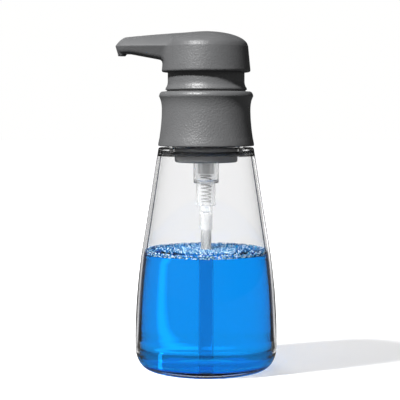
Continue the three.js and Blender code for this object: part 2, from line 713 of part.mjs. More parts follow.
function headShell() {
  const sideAt = (z) => THREE.MathUtils.mapLinear(z, HEAD_Z, CREASE_Z, HEAD_FOOT_R, HEAD_R);
  const drumTop = CREASE_Z - 0.5;
  const drum = turned([
    [0, HEAD_Z],
    [HEAD_FOOT_R - HEAD_RIM_ROUND, HEAD_Z],
    [sideAt(HEAD_Z + HEAD_RIM_ROUND), HEAD_Z + HEAD_RIM_ROUND],
    [sideAt(drumTop), drumTop],
    [0, drumTop],
  ], FINE);
  const outside = drum.add(spoutBody()).add(crown());
  const hollow = turned([
    [0, HEAD_Z - 1],
    [HEAD_FOOT_R - HEAD_WALL, HEAD_Z - 1],
    [sideAt(CREASE_Z) - HEAD_WALL, CREASE_Z],
    [HEAD_CEILING_R, HEAD_CEILING_Z],
    [0, HEAD_CEILING_Z],
  ], MEDIUM);
  const lip = turned([
    [0, LIP_Z[0]], [LIP_R[0], LIP_Z[0]], [LIP_R[1], LIP_Z[1]], [0, LIP_Z[1]],
  ], SMALL).translate([NOZZLE_X, 0, 0]);
  const outlet = rod(NOZZLE_R + GAP, 6, [NOZZLE_X, 0, 173]);
  const made = outside.add(lip).subtract(hollow).subtract(spoutChannel()).subtract(outlet);
  return mesh('head_shell', made, greyPlastic);
}

function headCore() {
  const socket = STEM_R + GAP;
  const profile = [
    [0, STOP_Z],
    [STOP_R, STOP_Z],
    [STOP_R, CORE_CEILING_Z],
    [CORE_CHAMBER_R, CORE_CEILING_Z],
    [CORE_CHAMBER_R, STEM_Z[1] + GAP],
    [socket, STEM_Z[1] + GAP],
    [socket, CORE_Z[0]],
    [CORE_R, CORE_Z[0]],
    [CORE_R, WEB_Z[0]],
    [WEB_R, WEB_Z[0]],
    [WEB_R, WEB_Z[1]],
    [CORE_R, WEB_Z[1]],
    [CORE_R, CORE_Z[1]],
    [0, CORE_Z[1]],
  ];
  const outletLength = CORE_R;
  const middle = -(STOP_R + GAP + outletLength / 2);
  const outlet = rod(OUTLET_R, outletLength, [middle, 0, SPOUT_TUBE_Z - 0.4], true);
  return mesh('head_core', turned(profile, MEDIUM).subtract(outlet), milkyPlastic);
}

// The tube that carries the soap along the spout and turns down at the nozzle.
function spoutTube() {
  const route = new THREE.CatmullRomCurve3([
    new THREE.Vector3(-CORE_R - GAP, 0, SPOUT_TUBE_Z),
    new THREE.Vector3(SPOUT_ROOT_X, 0, SPOUT_TUBE_Z - 0.2),
    new THREE.Vector3(-32, 0, SPOUT_TUBE_Z - 0.8),
    new THREE.Vector3(NOZZLE_X + 4.6, 0, SPOUT_TUBE_Z - 1.6),
  ]);
  const wall = new THREE.Shape().absarc(0, 0, SPOUT_TUBE_R, 0, 2 * Math.PI);
  wall.holes.push(new THREE.Path().absarc(0, 0, SPOUT_TUBE_BORE_R, 0, 2 * Math.PI, true));
  const geometry = new THREE.ExtrudeGeometry(wall, { steps: 8, curveSegments: 7, extrudePath: route });
  return mesh('spout_tube', solid(geometry), milkyPlastic);
}

function nozzle() {
  const [low, high] = NOZZLE_Z;
  const profile = [
    [NOZZLE_BORE_R, low],
    [NOZZLE_R, low],
    [NOZZLE_R, high - NOZZLE_FLANGE_H],
    [NOZZLE_FLANGE_R, high - NOZZLE_FLANGE_H],
    [NOZZLE_FLANGE_R, high],
    [NOZZLE_BORE_R, high],
  ];
  const piece = mesh('nozzle', turned(profile, SMALL), darkRubber);
  piece.position.x = NOZZLE_X;
  return piece;
}

// ---------------------------------------------------------------- assembly

function group(name, ...pieces) {
  const made = new THREE.Group();
  made.name = name;
  made.add(...pieces);
  return made;
}

const dispenser = group(
  'soap_pump_dispenser',
  group('bottle_group', bottle(), soap()),
  group('collar_group', collar()),
  group(
    'pump_insert',
    pumpWell(), wellSeal(), rimGasket(), neckSleeve(),
    pumpHousing(), housingGasket(), housingCap(), dipTube(), spring(),
  ),
  group('plunger', pistonStem(), pistonSeal()),
  group('pump_head', stem(), headShell(), headCore(), spoutTube(), nozzle()),
  ball('inlet_ball', INLET_BALL_R, INLET_BALL_Z, clearGlass),
  ball('outlet_ball', OUTLET_BALL_R, OUTLET_BALL_Z, steel),
);

export default dispenser;
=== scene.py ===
"""Soap pump dispenser: the surfaces and materials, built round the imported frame.

The frame is in metres, with the pump's axis on Z, the spout towards -X and the bottle standing on Z = 0.
Shapes are written in millimetres, as (radius, height) outlines that are turned round Z, and the head as a
field whose zero surface is its skin. Every piece rides on the body that holds the CAD node it stands for.
"""

import math

import bmesh
import bpy
import numpy as np
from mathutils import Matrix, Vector


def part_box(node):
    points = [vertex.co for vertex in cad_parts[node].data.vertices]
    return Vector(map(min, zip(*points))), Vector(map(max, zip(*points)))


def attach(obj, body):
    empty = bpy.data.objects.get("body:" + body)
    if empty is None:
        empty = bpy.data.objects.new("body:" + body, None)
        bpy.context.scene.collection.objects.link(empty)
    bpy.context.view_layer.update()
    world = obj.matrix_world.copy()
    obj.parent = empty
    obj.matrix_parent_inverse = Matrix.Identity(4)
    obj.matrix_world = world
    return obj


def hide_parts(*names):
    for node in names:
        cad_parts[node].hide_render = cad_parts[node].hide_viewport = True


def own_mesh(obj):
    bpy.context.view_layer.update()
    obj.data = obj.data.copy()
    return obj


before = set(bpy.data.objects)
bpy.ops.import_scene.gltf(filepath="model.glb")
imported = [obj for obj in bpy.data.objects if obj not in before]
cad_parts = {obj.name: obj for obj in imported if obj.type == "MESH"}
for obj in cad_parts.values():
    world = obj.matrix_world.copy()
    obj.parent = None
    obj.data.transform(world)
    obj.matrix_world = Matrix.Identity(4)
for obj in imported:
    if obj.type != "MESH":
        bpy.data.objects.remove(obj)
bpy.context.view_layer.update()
MM = 0.001


# ---------------------------------------------------------------- sizes, in millimetres


def span(node):
    """The lowest and highest point of a CAD node."""
    low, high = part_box(node)
    return low.z / MM, high.z / MM


def outer(node):
    """The outer radius of a CAD node that is turned round the axis."""
    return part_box(node)[1].x / MM


BODY_R = outer("bottle")
FOOT_R = 32
HEEL_H = 12
WALL_ARC_Z = 14  # the wall is upright here and arches in above it
WALL_ARC_R = 350
WALL_TAPER = 0.165
SHOULDER_Z = 122.3
SHOULDER_ROUND = 1.2
SHOULDER_UNDER_Z = 119.4
INNER_SHOULDER = 2.6
NECK_R = 20.6
NECK_BORE_R = 18.3
RIM_Z = span("bottle")[1]
FLOOR_Z = 4.5
INNER_HEEL = 5.5
WALL_LOW = 2.3  # the wall as it is drawn, low down and high up: 0.8 thinner than the CAD solid's
WALL_HIGH = 1.2
BEAD_Z = 126.6
BEAD_R = 21.6
THREAD_LEAD = 5
THREAD_H = 1.3
THREAD_W = 1.05  # half the ridge's width at its foot
THREAD_FLANK = 0.55
GLASS_THREAD = (131.5, 1.1)  # where the ridge starts, and how many turns it has
COLLAR_THREAD = (129.1, 0.85)
SOAP_GAP = 0.3
SOAP_LAP = 0.3  # the soap reaches this far into the glass floor
SOAP_Z = span("soap")[1]
SURFACE_DROP = 1.1  # the soap's surface lies this far below the top of its foam
FOAM_H = 2.4  # height of the ring of foam at the wall
RIM_BUBBLES = 2600
SURFACE_BUBBLES = 1500

COLLAR_FOOT_R = 26.5
COLLAR_WAIST = (24.4, 143)
COLLAR_TOP = (25.9, 150.2)  # where the rounded top edge starts
COLLAR_EDGE_R = 2.0
COLLAR_BORE_R = 22.3
COLLAR_MOUTH_R = 19.6
COLLAR_LID_Z = 151.3  # underside of the collar's top lip

SLEEVE_R = 21.1
SLEEVE_LIP_R = 22.4
SLEEVE_LIP_Z = 153.7
SLEEVE_DECK = 1.7  # thickness of the deck on top
GUIDE_Z = 157.5  # lower end of the sleeve's stem guide

DIP_TUBE_R = 2.95
DIP_TUBE_BORE_R = (2.5, 1.9)  # in the soap, and above it
SPRING_Z = (91.5, 107.3)
WIRE_R = 0.3

HEAD_Z = span("head_shell")[0]
CREASE_Z = 177.6


# ---------------------------------------------------------------- meshes


def piece(name, vertices, faces, body, materials, replaces=()):
    """A smooth-shaded mesh from millimetre vertices that rides on a body and stands for CAD nodes."""
    mesh = bpy.data.meshes.new(name)
    mesh.from_pydata((np.asarray(vertices) * MM).tolist(), [], faces)
    sides = bmesh.new()
    sides.from_mesh(mesh)
    bmesh.ops.recalc_face_normals(sides, faces=sides.faces)
    sides.to_mesh(mesh)
    sides.free()
    mesh.shade_smooth()
    for material in materials:
        mesh.materials.append(material)
    made = bpy.data.objects.new(name, mesh)
    bpy.context.scene.collection.objects.link(made)
    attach(made, body)
    if replaces:
        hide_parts(*replaces)
    return made


def rounded(corners, closed=True, step=math.radians(14)):
    """An outline from (radius, height, fillet) corners. Each corner becomes an arc, with a point just
    beyond each end of it that keeps the shading of the straight stretch flat."""
    points = [np.array(c[:2], float) for c in corners]
    fillets = [c[2] if len(c) > 2 else 0.0 for c in corners]
    count = len(points)
    made = []
    for i, (here, fillet) in enumerate(zip(points, fillets)):
        at_end = not closed and i in (0, count - 1)
        if at_end or fillet == 0:
            made.append(here)
            continue
        back = points[i - 1] - here
        ahead = points[(i + 1) % count] - here
        u, v = back / np.linalg.norm(back), ahead / np.linalg.norm(ahead)
        half = math.acos(np.clip(u @ v, -1, 1)) / 2
        reach = min(fillet / math.tan(half), 0.45 * np.linalg.norm(back), 0.45 * np.linalg.norm(ahead))
        radius = reach * math.tan(half)
        centre = here + (u + v) / np.linalg.norm(u + v) * radius / math.sin(half)
        start, end = here + u * reach - centre, here + v * reach - centre
        turn = math.atan2(start[0] * end[1] - start[1] * end[0], start @ end)
        steps = max(2, math.ceil(abs(turn) / step))
        hold = 0.1 * reach + 0.03
        made.append(here + u * (reach + hold))
        for a in np.linspace(0, turn, steps + 1):
            c, s = math.cos(a), math.sin(a)
            made.append(centre + (start[0] * c - start[1] * s, start[0] * s + start[1] * c))
        made.append(here + v * (reach + hold))
    return made


def quarter(centre, radii, start, end, steps):
    """Points on an ellipse from one angle to another, in degrees."""
    angles = np.radians(np.linspace(start, end, steps + 1))
    return [(centre[0] + radii[0] * math.cos(a), centre[1] + radii[1] * math.sin(a)) for a in angles]


def bend(start, control, end, steps):
    """Points on a quadratic curve, its first end left out."""
    t = np.linspace(0, 1, steps + 1)[1:, None]
    a, b, c = (np.array(p, float) for p in (start, control, end))
    return [tuple(p) for p in (1 - t) ** 2 * a + 2 * t * (1 - t) * b + t**2 * c]


def turned(outline, sides, lift=None):
    """Vertices and faces of an outline turned round Z, its faces one row after another. An outline that
    starts and ends on the axis is closed there, and any other is closed on itself. lift(radius, height,
    angle) moves points outward, as a thread does."""
    outline = np.array([(p[0], p[1]) for p in outline], float)
    on_axis = outline[0, 0] < 1e-6 and outline[-1, 0] < 1e-6
    rows = outline[1:-1] if on_axis else outline
    angles = np.linspace(0, 2 * math.pi, sides, endpoint=False)
    radius = np.repeat(rows[:, :1], sides, axis=1)
    height = np.repeat(rows[:, 1:], sides, axis=1)
    if lift is not None:
        radius = radius + lift(radius, height, angles[None, :])
    vertices = np.stack([radius * np.cos(angles), radius * np.sin(angles), height], axis=2).reshape(-1, 3)
    index = np.arange(len(rows) * sides).reshape(len(rows), sides)
    after = np.roll(index, -1, axis=1)
    faces = []
    for i in range(len(rows) - 1 if on_axis else len(rows)):
        j = (i + 1) % len(rows)
        faces += np.stack([index[i], after[i], after[j], index[j]], axis=1).tolist()
    if on_axis:
        foot, top = len(vertices), len(vertices) + 1
        vertices = np.vstack([vertices, [(0, 0, outline[0, 1]), (0, 0, outline[-1, 1])]])
        faces += [[foot, b, a] for a, b in zip(index[0].tolist(), after[0].tolist())]
        faces += [[top, a, b] for a, b in zip(index[-1].tolist(), after[-1].tolist())]
    return vertices, faces


def thread(start, turns, wall_r, rise):
    """A right-handed ridge for turned(), on the points at the wall's radius. It fades in and out at its
    ends, and rises outward, or inward where the rise is negative."""

    def lift(radius, z, angle):
        ridge = np.zeros(np.broadcast(radius, angle).shape)
        for k in range(math.ceil(turns) + 1):
            along = angle / (2 * math.pi) + k
            fade = np.clip(np.minimum(along, turns - along) * 8, 0, 1)
            flank = np.clip((THREAD_W - np.abs(z - start - along * THREAD_LEAD)) / THREAD_FLANK, 0, 1)
            ridge = np.maximum(ridge, fade * flank * flank * (3 - 2 * flank))
        return np.where(np.abs(radius - wall_r) < 1e-3, ridge * rise, 0)

    return lift


def sweep(path, wire_r, sides):
    """A round wire along a list of points, closed at both ends."""
    path = np.asarray(path, float)
    ahead = np.gradient(path, axis=0)
    ahead /= np.linalg.norm(ahead, axis=1)[:, None]
    across = np.cross(ahead, (0, 0, 1))
    across /= np.linalg.norm(across, axis=1)[:, None]
    up = np.cross(across, ahead)
    angles = np.linspace(0, 2 * math.pi, sides, endpoint=False)[None, :, None]
    circle = np.cos(angles) * across[:, None, :] + np.sin(angles) * up[:, None, :]
    vertices = (path[:, None, :] + wire_r * circle).reshape(-1, 3)
    index = np.arange(len(path) * sides).reshape(len(path), sides)
    after = np.roll(index, -1, axis=1)
    faces = [index[0].tolist(), index[-1].tolist()]
    for i in range(len(path) - 1):
        faces += np.stack([index[i], after[i], after[i + 1], index[i + 1]], axis=1).tolist()
    return vertices, faces


# ---------------------------------------------------------------- fields


def smooth_max(a, b, k):
    """The larger of two fields, with their meeting edge rounded over about k."""
    near = np.maximum(k - np.abs(a - b), 0) / k
    return np.maximum(a, b) + near * near * k / 4


def smooth_min(a, b, k):
    return -smooth_max(-a, -b, k)


def dome(run, radius, rise, height, power):
    """A domed top as a field: run is the distance from its middle, and rise the height above its foot."""
    u = np.maximum(run / radius, 1e-4)
    w = np.maximum(rise, 0) / height
    n = (u**power + w**power) ** (1 / power)
    slope = n ** (1 - power) * np.hypot(u ** (power - 1) / radius, w ** (power - 1) / height)
    return (n - 1) / np.maximum(slope, 1e-3)


def net(field, low, high, step):
    """Vertices and faces of a field's zero surface, with one vertex in each cell that the surface crosses."""
    axes = [np.arange(a, b + step, step) for a, b in zip(low, high)]
    value = field(*np.meshgrid(*axes, indexing="ij"))
    cells = np.array(value.shape) - 1
    total = np.zeros((*cells, 3))
    count = np.zeros(cells)
    crossed = []
    for axis in range(3):
        a = np.moveaxis(value, axis, 0)[:-1]
        b = np.moveaxis(value, axis, 0)[1:]
        a, b = np.moveaxis(a, 0, axis), np.moveaxis(b, 0, axis)
        at = np.argwhere((a < 0) != (b < 0))
        start, end = a[tuple(at.T)], b[tuple(at.T)]
        point = at.astype(float)
        point[:, axis] += start / (start - end)
        u, v = (axis + 1) % 3, (axis + 2) % 3
        corners = []
        for du, dv in ((0, 0), (-1, 0), (-1, -1), (0, -1)):
            cell = at.copy()
            cell[:, u] += du
            cell[:, v] += dv
            cell = np.clip(cell, 0, cells - 1)
            np.add.at(total, tuple(cell.T), point)
            np.add.at(count, tuple(cell.T), 1)
            corners.append(cell)
        crossed.append((corners, start < 0))
    used = count > 0
    number = np.full(cells, -1)
    number[used] = np.arange(used.sum())
    vertices = total[used] / count[used][:, None] * step + np.array([a[0] for a in axes])
    faces = []
    for corners, inside_first in crossed:
        quads = np.stack([number[tuple(c.T)] for c in corners], axis=1)
        quads[~inside_first] = quads[~inside_first][:, ::-1]
        faces += quads.tolist()
    for _ in range(3):
        vertices = vertices - settle(field, vertices)
    return vertices, faces


def settle(field, points):
    """How far to move points to bring them onto a field's zero surface."""
    here = field(*points.T)
    small = 0.02
    steps = np.eye(3) * small
    slope = np.stack([field(*(points + d).T) - field(*(points - d).T) for d in steps], axis=1) / (2 * small)
    steep = np.maximum((slope**2).sum(axis=1), 0.25)
    return slope * (np.clip(here, -0.3, 0.3) / steep)[:, None]


# ---------------------------------------------------------------- shader nodes


def add(tree, kind, inputs=(), **settings):
    """A shader node. Each input is a value, or the socket that it is linked to."""
    node = tree.nodes.new("ShaderNode" + kind)
    for name, value in settings.items():
        setattr(node, name, value)
    for name, value in dict(inputs).items():
        if isinstance(value, bpy.types.NodeSocket):
            tree.links.new(value, node.inputs[name])
        else:
            node.inputs[name].default_value = value
    return node


def noise(tree, scale, detail=2.0, roughness=0.5):
    """Noise in the piece's own place, its scale in cells for each metre."""
    place = add(tree, "TexCoord").outputs["Object"]
    made = add(tree, "TexNoise", {"Vector": place, "Scale": scale, "Detail": detail, "Roughness": roughness})
    return made.outputs["Fac"]


def ranged(tree, value, low, high, to_low, to_high):
    values = {"Value": value, "From Min": low, "From Max": high, "To Min": to_low, "To Max": to_high}
    return add(tree, "MapRange", values).outputs["Result"]


def ramp(tree, value, stops):
    """Colours along a value, from (position, colour) stops. A colour is one grey level or three numbers."""
    node = add(tree, "ValToRGB", {"Fac": value})
    keys = node.color_ramp.elements
    while len(keys) < len(stops):
        keys.new(0.5)
    for key, (position, colour) in zip(keys, stops):
        key.position = position
        key.color = (*(colour if isinstance(colour, tuple) else (colour,) * 3), 1)
    return node.outputs["Color"]


def mixed(tree, factor, a, b):
    """Colour a turned into colour b by a factor."""
    node = add(tree, "Mix", data_type="RGBA")
    for number, value in ((0, factor), (6, a), (7, b)):
        if isinstance(value, bpy.types.NodeSocket):
            tree.links.new(value, node.inputs[number])
        else:
            node.inputs[number].default_value = value if number == 0 else (*value, 1)
    return node.outputs[2]


def bumped(tree, height, depth):
    """A bump whose relief is depth millimetres."""
    return add(tree, "Bump", {"Height": height, "Distance": depth * MM, "Strength": 1.0}).outputs["Normal"]


def material(name, build):
    """A node material: build(tree) returns the shader."""
    made = bpy.data.materials.new(name)
    made.use_nodes = True
    made.node_tree.nodes.clear()
    shader = build(made.node_tree)
    add(made.node_tree, "OutputMaterial", {"Surface": shader.outputs[0]})
    return made


def scaled(colour, factor):
    return tuple(min(c * factor, 1) for c in colour)


def moulded(name, colour, rough, grain, relief, edge_highlight=1.25, **shader):
    """Moulded plastic or rubber: grain for each millimetre in the bump, a slow cloudiness in the colour and
    the gloss, a painted highlight that makes rounded edges paler, and edges that handling has rubbed
    smoother."""

    def build(tree):
        fine = noise(tree, grain / MM, 3, 0.6)
        slow = noise(tree, 55, 3)
        # edge marks rounded edges by their pointiness: they get a painted highlight in the colour, and a
        # lower roughness
        edge = ranged(tree, add(tree, "NewGeometry").outputs["Pointiness"], 0.53, 0.62, 0, 1)
        cloudy = ramp(tree, slow, [(0.3, scaled(colour, 0.93)), (0.7, scaled(colour, 1.07))])
        base = mixed(tree, edge, cloudy, scaled(colour, edge_highlight))
        gloss = ranged(tree, slow, 0.3, 0.7, rough - 0.04, rough + 0.04)
        rubbed = ranged(tree, edge, 0, 1, 0, 0.08)
        worn = add(tree, "Math", {0: gloss, 1: rubbed}, operation="SUBTRACT").outputs[0]
        values = {"Base Color": base, "Roughness": worn, "Normal": bumped(tree, fine, relief), "IOR": 1.5}
        return add(tree, "BsdfPrincipled", values | shader)

    return material(name, build)


def clear(name, colour, ior, rough, ripple, relief, **shader):
    """A clear body: its tint, and slow ripples in its surface."""

    def build(tree):
        values = {
            "Base Color": colour(tree) if callable(colour) else (*colour, 1),
            "Roughness": rough,
            "IOR": ior,
            "Transmission Weight": 1.0,
            "Normal": bumped(tree, noise(tree, ripple, 2), relief),
        }
        return add(tree, "BsdfPrincipled", values | shader)

    return material(name, build)


def glass_edge_painted_shade(tree):
    """Painted shade: the base colour turns dark where the glass is seen edge-on, standing in for thick glass
    that bends the view away from the light behind it. The dark line is wider where soap stands behind the
    wall."""
    turn = add(tree, "LayerWeight", {"Blend": 0.5}).outputs["Facing"]
    bare, dark = 0.985, (0.012, 0.016, 0.03)
    thin = ramp(tree, turn, [(0.0, bare), (0.585, bare), (0.605, dark), (0.635, dark), (0.66, 0.8)])
    wide = ramp(tree, turn, [(0.0, bare), (0.58, bare), (0.61, dark), (0.71, dark), (0.75, 0.85)])
    height = add(tree, "SeparateXYZ", {0: add(tree, "TexCoord").outputs["Object"]}).outputs["Z"]
    soaked = ranged(tree, height, (SOAP_Z + 1) * MM, (SOAP_Z - 1) * MM, 0, 1)
    return mixed(tree, soaked, thin, wide)


def brushed(name, colour, rough, grain, relief):
    """Bright drawn metal with fine lines in its gloss."""

    def build(tree):
        fine = noise(tree, grain / MM, 3, 0.6)
        tone = ramp(tree, noise(tree, 400, 2), [(0.3, scaled(colour, 0.85)), (0.7, colour)])
        values = {
            "Base Color": tone,
            "Metallic": 1.0,
            "Roughness": ranged(tree, fine, 0.3, 0.7, rough - 0.06, rough + 0.08),
            "Normal": bumped(tree, fine, relief),
        }
        return add(tree, "BsdfPrincipled", values)

    return material(name, build)


def foam_build(tree):
    """Bubbles: pale films, most of them white and some tinted by the soap below them."""
    stops = [(0.42, (0.003, 0.04, 0.17)), (0.52, (0.015, 0.17, 0.29)), (0.63, (0.42, 0.47, 0.54))]
    values = {
        "Base Color": ramp(tree, noise(tree, 1100, 1), stops),
        "Roughness": ranged(tree, noise(tree, 2500, 1), 0.3, 0.7, 0.05, 0.2),
        "IOR": 1.33,
        "Transmission Weight": 0.15,
        "Normal": bumped(tree, noise(tree, 2500, 1), 0.02),
    }
    return add(tree, "BsdfPrincipled", values)


GREY = moulded("grey_satin_plastic", (0.106, 0.107, 0.109), 0.41, 1.0, 0.2)
# The head's two greys are copies of the grey plastic with a darker colour: painted shade over the head, which
# darkens its lit domed top
CAP_GREY = moulded("grey_cap_plastic", (0.095, 0.096, 0.098), 0.42, 1.0, 0.2, **{"Specular IOR Level": 0.4})
SPOUT_GREY = moulded(
    "grey_spout_plastic", (0.096, 0.097, 0.099), 0.58, 1.0, 0.16, **{"Specular IOR Level": 0.25}
)
WELL_GREY = moulded("grey_gloss_plastic", (0.10, 0.102, 0.106), 0.3, 2.0, 0.02)
MILKY = moulded("milky_plastic", (0.74, 0.745, 0.75), 0.3, 1.2, 0.015, 1.1, **{"Transmission Weight": 0.8})
TUBE = moulded("dip_tube_plastic", (0.77, 0.775, 0.78), 0.2, 1.2, 0.01, 1.1, **{"Transmission Weight": 0.85})
CLEAR_PLASTIC = moulded(
    "clear_plastic", (0.92, 0.925, 0.93), 0.1, 1.0, 0.01, 1.05, **{"Transmission Weight": 0.9}
)
RUBBER = moulded("dark_rubber", (0.018, 0.018, 0.02), 0.55, 1.6, 0.03, 1.6)
STEEL = brushed("spring_steel", (0.06, 0.061, 0.064), 0.22, 6, 0.006)
# the outside of the wall carries the painted edge-on shade in its colour
GLASS_OUT = clear("bottle_glass_outside", glass_edge_painted_shade, 1.5, 0.0, 30, 0.01)
GLASS_IN = clear("bottle_glass_inside", (0.985, 0.985, 0.975), 1.5, 0.0, 30, 0.01)
WET_TUBE = clear("dip_tube_in_soap", (0.6, 0.82, 0.9), 1.08, 0.12, 900, 0.01)
BALL_GLASS = clear("valve_ball_glass", (0.93, 0.96, 0.95), 1.5, 0.0, 900, 0.004)
SOAP = clear("blue_soap", (0.0003, 0.33, 0.99), 1.45, 0.02, 60, 0.02)
FOAM = material("soap_foam", foam_build)


# ---------------------------------------------------------------- bottle, soap and foam

ARC_TOP_Z = WALL_ARC_Z + WALL_ARC_R * math.sin(math.atan(WALL_TAPER))
ARC_TOP_R = BODY_R - WALL_ARC_R * (1 - math.cos(math.atan(WALL_TAPER)))


def side_r(z):
    """The bottle's outer radius: upright, then an arc, then a straight taper."""
    if z <= WALL_ARC_Z:
        return BODY_R
    if z >= ARC_TOP_Z:
        return ARC_TOP_R - WALL_TAPER * (z - ARC_TOP_Z)
    return BODY_R - WALL_ARC_R + math.sqrt(WALL_ARC_R**2 - (z - WALL_ARC_Z) ** 2)


def inner_r(z):
    """The inside of the bottle's wall, which is thickest low down."""
    climb = min(max((z - WALL_ARC_Z) / (ARC_TOP_Z - WALL_ARC_Z), 0), 1)
    climb = climb * climb * (3 - 2 * climb)
    return side_r(z) - (WALL_LOW + (WALL_HIGH - WALL_LOW) * climb)


def make_bottle():
    """The glass. The outside of its wall has a painted dark shade edge-on, and the rest is plain clear glass.
    """
    shoulder_r = side_r(SHOULDER_Z - SHOULDER_ROUND) - SHOULDER_ROUND
    under_z = SHOULDER_UNDER_Z - INNER_SHOULDER
    heel_r = inner_r(FLOOR_Z + INNER_HEEL) - INNER_HEEL
    wall = [WALL_ARC_Z, *np.arange(17, 119.5, 2.5)]
    outside = [
        (0, 0),
        (FOOT_R * 0.5, 0),
        (FOOT_R - 1, 0),
        *quarter((FOOT_R, HEEL_H), (BODY_R - FOOT_R, HEEL_H), -90, 0, 24),
        *[(side_r(z), z) for z in wall],
        *quarter((shoulder_r, SHOULDER_Z - SHOULDER_ROUND), (SHOULDER_ROUND,) * 2, 0, 90, 8),
        (shoulder_r - 0.4, SHOULDER_Z),
        *quarter((NECK_R + 0.8, SHOULDER_Z + 0.8), (0.8, 0.8), -90, -180, 5),
        *[(NECK_R, z) for z in (123.6, 124.6, 125.2)],
        *bend((NECK_R, 125.4), (BEAD_R, 125.8), (BEAD_R, BEAD_Z - 0.3), 5),
        *bend((BEAD_R, BEAD_Z + 0.3), (BEAD_R, 127.4), (NECK_R, 127.8), 5),
        *[(NECK_R, z) for z in np.arange(128.2, 146.9, 0.4)],
        *quarter((NECK_R - 0.8, RIM_Z - 0.8), (0.8, 0.8), 0, 90, 5),
    ]
    inside = [
        *quarter((NECK_BORE_R + 0.8, RIM_Z - 0.8), (0.8, 0.8), 90, 180, 5),
        *[(NECK_BORE_R, z) for z in (146, 140, 134, 128, 124, 121)],
        *quarter((NECK_BORE_R + 0.8, SHOULDER_UNDER_Z + 0.8), (0.8, 0.8), 180, 270, 5)[:-1],
        (NECK_BORE_R + 0.8, SHOULDER_UNDER_Z),
        *quarter((inner_r(under_z) - INNER_SHOULDER, under_z), (INNER_SHOULDER,) * 2, 90, 0, 10),
        *[(inner_r(z), z) for z in wall[::-1] if FLOOR_Z + INNER_HEEL < z < under_z],
        *quarter((heel_r, FLOOR_Z + INNER_HEEL), (INNER_HEEL,) * 2, 0, -90, 22),
        (heel_r - 1, FLOOR_Z),
        (heel_r * 0.5, FLOOR_Z),
        (0, FLOOR_Z),
    ]
    sides = 192
    vertices, faces = turned(outside + inside, sides, thread(*GLASS_THREAD, NECK_R, THREAD_H))
    made = piece("glass_bottle", vertices, faces, "bottle", [GLASS_OUT, GLASS_IN], ["bottle"])
    rows = len(outside) + len(inside) - 2
    row = np.arange(len(faces)) // sides
    row[(rows - 1) * sides :] = 0
    wall_top = SHOULDER_Z - SHOULDER_ROUND - 0.1
    wall_rows = [i - 1 for i, (_, z) in enumerate(outside) if WALL_ARC_Z < z < wall_top]
    on_wall = (row >= wall_rows[0]) & (row <= wall_rows[-1])
    made.data.polygons.foreach_set("material_index", (~on_wall).astype(np.int32))
    made.visible_shadow = False
    return made


def make_soap():
    """The soap touches the floor of the bottle, and a thin clear gap keeps it off the wall. A notch round
    its top edge holds the ring of foam."""
    low = FLOOR_Z - SOAP_LAP
    surface, notch = SOAP_Z - SURFACE_DROP, SOAP_Z - FOAM_H
    heel_r = inner_r(FLOOR_Z + INNER_HEEL) - INNER_HEEL
    rim_r = inner_r(SOAP_Z) - SOAP_GAP
    heel = []
    for r, z in quarter((heel_r, FLOOR_Z + INNER_HEEL), (INNER_HEEL + SOAP_LAP,) * 2, -90, 0, 22):
        gap = (SOAP_GAP + SOAP_LAP) * min(max((z - FLOOR_Z - 1.5) / (INNER_HEEL - 1.5), 0), 1)
        heel.append((r - gap, z))
    outline = [
        (0, low),
        (heel_r * 0.5, low),
        (heel_r - 1, low),
        *heel,
        *[(inner_r(z) - SOAP_GAP, z) for z in np.arange(18, notch - 1, 2.5)],
        (rim_r + 0.4, notch - 0.4),
        *bend((rim_r + 0.4, notch), (rim_r - 1, notch), (rim_r - 2.6, surface), 8),
        (rim_r * 0.6, surface),
        (rim_r * 0.3, surface),
        (0, surface),
    ]
    vertices, faces = turned(outline, 160)
    return piece("liquid_soap", vertices, faces, "bottle", [SOAP], ["soap"])


def make_foam():
    """Bubbles along the rim, and a looser patch round the dip tube."""
    rng = np.random.default_rng(7)
    ball = bmesh.new()
    bmesh.ops.create_icosphere(ball, subdivisions=2, radius=1)
    shape = np.array([v.co[:] for v in ball.verts])
    sides = np.array([[v.index for v in f.verts] for f in ball.faces])
    ball.free()
    rim_r = inner_r(SOAP_Z) - SOAP_GAP + 0.1
    spots = []
    for _ in range(RIM_BUBBLES):
        size = rng.uniform(0.16, 0.5)
        depth = rng.uniform(0, 1)
        inward = (1 - depth) * abs(rng.normal(0, 1.0)) + depth * rng.uniform(0, 0.4)
        spots.append((rim_r - size - inward, SOAP_Z - 0.2 - size - depth * (FOAM_H - 0.5), size))
    for _ in range(SURFACE_BUBBLES):
        size = rng.uniform(0.2, 0.8)
        spots.append((3.4 + abs(rng.normal(0, 12)), SOAP_Z - SURFACE_DROP + 0.2 * size, size))
    vertices, faces = [], []
    for count, (r, z, size) in enumerate(s for s in spots if s[0] < rim_r - s[2]):
        a = rng.uniform(0, 2 * math.pi)
        vertices.append(shape * size * (1, 1, 0.85) + (r * math.cos(a), r * math.sin(a), z))
        faces += (sides + count * len(shape)).tolist()
    return piece("soap_foam", np.vstack(vertices), faces, "bottle", [FOAM])


make_bottle()
make_soap()
make_foam()


# ---------------------------------------------------------------- collar, sleeve and well


